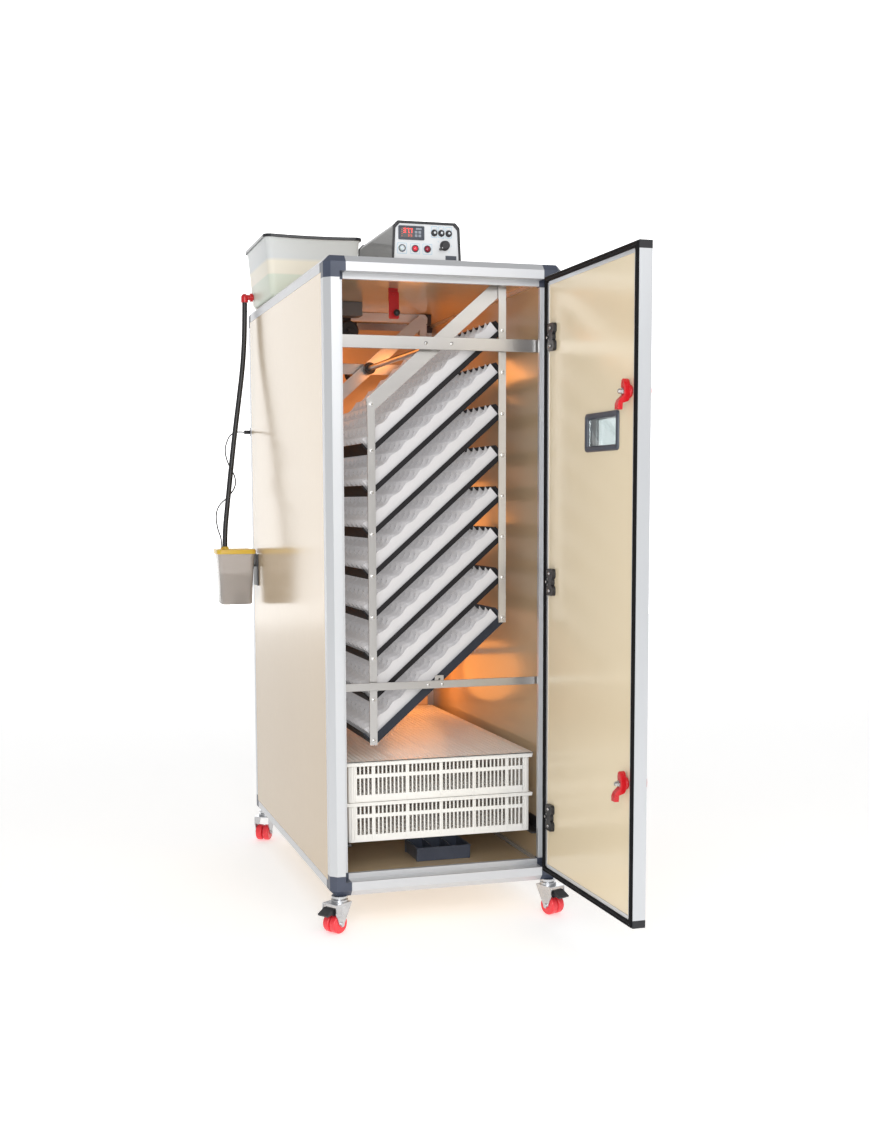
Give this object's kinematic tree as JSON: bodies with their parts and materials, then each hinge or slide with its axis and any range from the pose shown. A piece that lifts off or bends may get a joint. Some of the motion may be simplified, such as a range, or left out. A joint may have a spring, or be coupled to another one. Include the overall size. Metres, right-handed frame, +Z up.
{
  "type": "egg incubator",
  "caption": "Free-standing cabinet egg incubator on castors: tilting tray rack, hatching baskets, hinged door with window, roof control box and water tank",
  "frame": {"origin": "on the floor under the middle of the whole object's bounding box, hose and cable left out", "axes": "+Z up, +Y towards the cabinet's back, +X to the right seen from the door side"},
  "size_m": [0.7678, 1.7436, 1.8723],
  "materials": {
    "alu": "brushed",
    "corner_blue": "satin",
    "panel": "gloss",
    "baffle": "gloss",
    "stainless": "brushed",
    "dark_steel": "satin",
    "tray": "gloss",
    "seal": "matte",
    "black_plastic": "satin",
    "glass": "clear",
    "red_plastic": "gloss",
    "zinc": "satin",
    "castor_red": "gloss",
    "basket": "gloss",
    "pan_grey": "satin",
    "box_grey": "satin",
    "panel_white": "satin",
    "lamp": "gloss",
    "tank": "translucent",
    "lid_black": "gloss",
    "lid_yellow": "gloss",
    "hose": "satin"
  },
  "bodies": {
    "cabinet": {"frame_uprights": "alu", "frame_rails": "alu", "corner_castings": "corner_blue", "insulated_panels": "panel", "rear_baffle": "baffle", "inner_supports": "stainless", "frame_hinge_leaves": "dark_steel", "castor_plates": "zinc", "turning_motor": "dark_steel", "fan_heater": "dark_steel", "control_box": "box_grey", "control_panel": "panel_white", "panel_fittings": "black_plastic", "panel_lamps": "lamp", "tank": "tank", "tank_outlet": "red_plastic", "refill_cup": "tank", "refill_cup_lid": "lid_yellow", "cup_bracket": "black_plastic", "refill_pump": "black_plastic", "water_hose": "hose", "pump_cable": "hose"},
    "rack_beam": {"turning_shaft": "dark_steel"},
    "left_bars": {"left_bars": "stainless"},
    "right_bars": {"right_bars": "stainless"},
    "door": {"door_edges": "alu", "door_corner_caps": "black_plastic", "door_panel": "panel", "door_seal": "seal", "window_frame": "black_plastic", "window_glass": "glass", "door_hinge_leaves": "dark_steel"},
    "latch_upper": {"latch_upper": "red_plastic"},
    "latch_lower": {"latch_lower": "red_plastic"},
    "basket_lower": {"basket_lower": "basket"},
    "basket_upper": {"basket_upper": "basket"},
    "basket_lid": {"basket_lid": "basket"},
    "water_pan": {"water_pan": "pan_grey"},
    "fan_blades": {"fan_blades": "black_plastic"},
    "vent_lever": {"vent_lever": "red_plastic"},
    "selector_knob": {"selector_knob": "black_plastic"},
    "tank_lid": {"tank_lid": "lid_black"},
    "tray_1": {"tray_1": "tray"},
    "tray_2": {"tray_2": "tray"},
    "tray_3": {"tray_3": "tray"},
    "tray_4": {"tray_4": "tray"},
    "tray_5": {"tray_5": "tray"},
    "tray_6": {"tray_6": "tray"},
    "tray_7": {"tray_7": "tray"},
    "tray_8": {"tray_8": "tray"},
    "fork_front_left": {"fork_front_left": "zinc"},
    "wheels_front_left": {"wheels_front_left": "castor_red"},
    "fork_front_right": {"fork_front_right": "zinc"},
    "wheels_front_right": {"wheels_front_right": "castor_red"},
    "fork_rear_left": {"fork_rear_left": "zinc"},
    "wheels_rear_left": {"wheels_rear_left": "castor_red"},
    "fork_rear_right": {"fork_rear_right": "zinc"},
    "wheels_rear_right": {"wheels_rear_right": "castor_red"},
    "brake_front_left": {"brake_front_left": "black_plastic"},
    "brake_front_right": {"brake_front_right": "black_plastic"}
  },
  "joints": [
    {"name": "rack_tilt", "type": "hinge", "parent": "cabinet", "child": "rack_beam", "pos_m": [0.05413, 0.15384, 1.493], "axis": [0, -1, 0], "range_deg": [-82.8, 0]},
    {"name": "left_bars_pivot", "type": "hinge", "parent": "rack_beam", "child": "left_bars", "pos_m": [-0.12102, 0.15384, 1.33858], "axis": [0, -1, 0], "range_deg": [0, 82.8]},
    {"name": "right_bars_pivot", "type": "hinge", "parent": "rack_beam", "child": "right_bars", "pos_m": [0.22928, 0.15384, 1.64742], "axis": [0, -1, 0], "range_deg": [0, 82.8]},
    {"name": "tray_1_tilt", "type": "hinge", "parent": "cabinet", "child": "tray_1", "pos_m": [0.05413, 0.15384, 1.377], "axis": [0, -1, 0], "range_deg": [-82.8, 0]},
    {"name": "tray_2_tilt", "type": "hinge", "parent": "cabinet", "child": "tray_2", "pos_m": [0.05413, 0.15384, 1.271], "axis": [0, -1, 0], "range_deg": [-82.8, 0]},
    {"name": "tray_3_tilt", "type": "hinge", "parent": "cabinet", "child": "tray_3", "pos_m": [0.05413, 0.15384, 1.165], "axis": [0, -1, 0], "range_deg": [-82.8, 0]},
    {"name": "tray_4_tilt", "type": "hinge", "parent": "cabinet", "child": "tray_4", "pos_m": [0.05413, 0.15384, 1.059], "axis": [0, -1, 0], "range_deg": [-82.8, 0]},
    {"name": "tray_5_tilt", "type": "hinge", "parent": "cabinet", "child": "tray_5", "pos_m": [0.05413, 0.15384, 0.953], "axis": [0, -1, 0], "range_deg": [-82.8, 0]},
    {"name": "tray_6_tilt", "type": "hinge", "parent": "cabinet", "child": "tray_6", "pos_m": [0.05413, 0.15384, 0.847], "axis": [0, -1, 0], "range_deg": [-82.8, 0]},
    {"name": "tray_7_tilt", "type": "hinge", "parent": "cabinet", "child": "tray_7", "pos_m": [0.05413, 0.15384, 0.741], "axis": [0, -1, 0], "range_deg": [-82.8, 0]},
    {"name": "tray_8_tilt", "type": "hinge", "parent": "cabinet", "child": "tray_8", "pos_m": [0.05413, 0.15384, 0.635], "axis": [0, -1, 0], "range_deg": [-82.8, 0]},
    {"name": "door_hinge", "type": "hinge", "parent": "cabinet", "child": "door", "pos_m": [0.35413, -0.30316, 0.89], "axis": [0, 0, 1], "range_deg": [-90.6, 60]},
    {"name": "latch_upper_turn", "type": "hinge", "parent": "door", "child": "latch_upper", "pos_m": [0.33266, -0.83142, 1.334], "axis": [-0.9999, -0.0105, 0], "range_deg": [0, 90]},
    {"name": "latch_lower_turn", "type": "hinge", "parent": "door", "child": "latch_lower", "pos_m": [0.33266, -0.83142, 0.459], "axis": [-0.9999, -0.0105, 0], "range_deg": [0, 90]},
    {"name": "basket_lower_slide", "type": "slide", "parent": "cabinet", "child": "basket_lower", "axis": [0, -1, 0], "range_m": [0, 0.095]},
    {"name": "basket_upper_slide", "type": "slide", "parent": "cabinet", "child": "basket_upper", "axis": [0, -1, 0], "range_m": [0, 0.095]},
    {"name": "basket_lid_lift", "type": "slide", "parent": "basket_upper", "child": "basket_lid", "axis": [0, 0, 1], "range_m": [0, 0.03]},
    {"name": "water_pan_lift", "type": "slide", "parent": "cabinet", "child": "water_pan", "axis": [0, 0, 1], "range_m": [0, 0.05]},
    {"name": "fan_spin", "type": "hinge", "parent": "cabinet", "child": "fan_blades", "pos_m": [0.05413, 0.75784, 0.973], "axis": [0, 1, 0], "continuous": true},
    {"name": "vent_lever_swing", "type": "hinge", "parent": "cabinet", "child": "vent_lever", "pos_m": [0.00313, 0.01584, 1.645], "axis": [0, 1, 0], "range_deg": [-60, 60]},
    {"name": "selector_turn", "type": "hinge", "parent": "cabinet", "child": "selector_knob", "pos_m": [0.07213, -0.22816, 1.736], "axis": [0, 1, 0], "range_deg": [-90, 90]},
    {"name": "tank_lid_lift", "type": "slide", "parent": "cabinet", "child": "tank_lid", "axis": [0, 0, 1], "range_m": [0, 0.06]},
    {"name": "swivel_front_left", "type": "hinge", "parent": "cabinet", "child": "fork_front_left", "pos_m": [-0.22587, -0.25916, 0.081], "axis": [0, 0, 1], "continuous": true},
    {"name": "wheel_front_left", "type": "hinge", "parent": "fork_front_left", "child": "wheels_front_left", "pos_m": [-0.24079, -0.26923, 0.025], "axis": [0.5592, -0.829, 0], "continuous": true},
    {"name": "brake_front_left_press", "type": "hinge", "parent": "fork_front_left", "child": "brake_front_left", "pos_m": [-0.25406, -0.27817, 0.061], "axis": [0.5592, -0.829, 0], "range_deg": [0, 20]},
    {"name": "swivel_front_right", "type": "hinge", "parent": "cabinet", "child": "fork_front_right", "pos_m": [0.34413, -0.25916, 0.081], "axis": [0, 0, 1], "continuous": true},
    {"name": "wheel_front_right", "type": "hinge", "parent": "fork_front_right", "child": "wheels_front_right", "pos_m": [0.35087, -0.27585, 0.025], "axis": [0.9272, 0.3746, 0], "continuous": true},
    {"name": "brake_front_right_press", "type": "hinge", "parent": "fork_front_right", "child": "brake_front_right", "pos_m": [0.35687, -0.29069, 0.061], "axis": [0.9272, 0.3746, 0], "range_deg": [0, 20]},
    {"name": "swivel_rear_left", "type": "hinge", "parent": "cabinet", "child": "fork_rear_left", "pos_m": [-0.22587, 0.81684, 0.081], "axis": [0, 0, 1], "continuous": true},
    {"name": "wheel_rear_left", "type": "hinge", "parent": "fork_rear_left", "child": "wheels_rear_left", "pos_m": [-0.23487, 0.80125, 0.025], "axis": [0.866, -0.5, 0], "continuous": true},
    {"name": "swivel_rear_right", "type": "hinge", "parent": "cabinet", "child": "fork_rear_right", "pos_m": [0.34413, 0.81684, 0.081], "axis": [0, 0, 1], "continuous": true},
    {"name": "wheel_rear_right", "type": "hinge", "parent": "fork_rear_right", "child": "wheels_rear_right", "pos_m": [0.34879, 0.79945, 0.025], "axis": [0.9659, 0.2588, 0], "continuous": true}
  ],
  "couplings": [
    {"joint": "left_bars_pivot", "follows": "rack_tilt", "ratio": -1},
    {"joint": "right_bars_pivot", "follows": "rack_tilt", "ratio": -1},
    {"joint": "tray_1_tilt", "follows": "rack_tilt", "ratio": 1},
    {"joint": "tray_2_tilt", "follows": "rack_tilt", "ratio": 1},
    {"joint": "tray_3_tilt", "follows": "rack_tilt", "ratio": 1},
    {"joint": "tray_4_tilt", "follows": "rack_tilt", "ratio": 1},
    {"joint": "tray_5_tilt", "follows": "rack_tilt", "ratio": 1},
    {"joint": "tray_6_tilt", "follows": "rack_tilt", "ratio": 1},
    {"joint": "tray_7_tilt", "follows": "rack_tilt", "ratio": 1},
    {"joint": "tray_8_tilt", "follows": "rack_tilt", "ratio": 1}
  ]
}
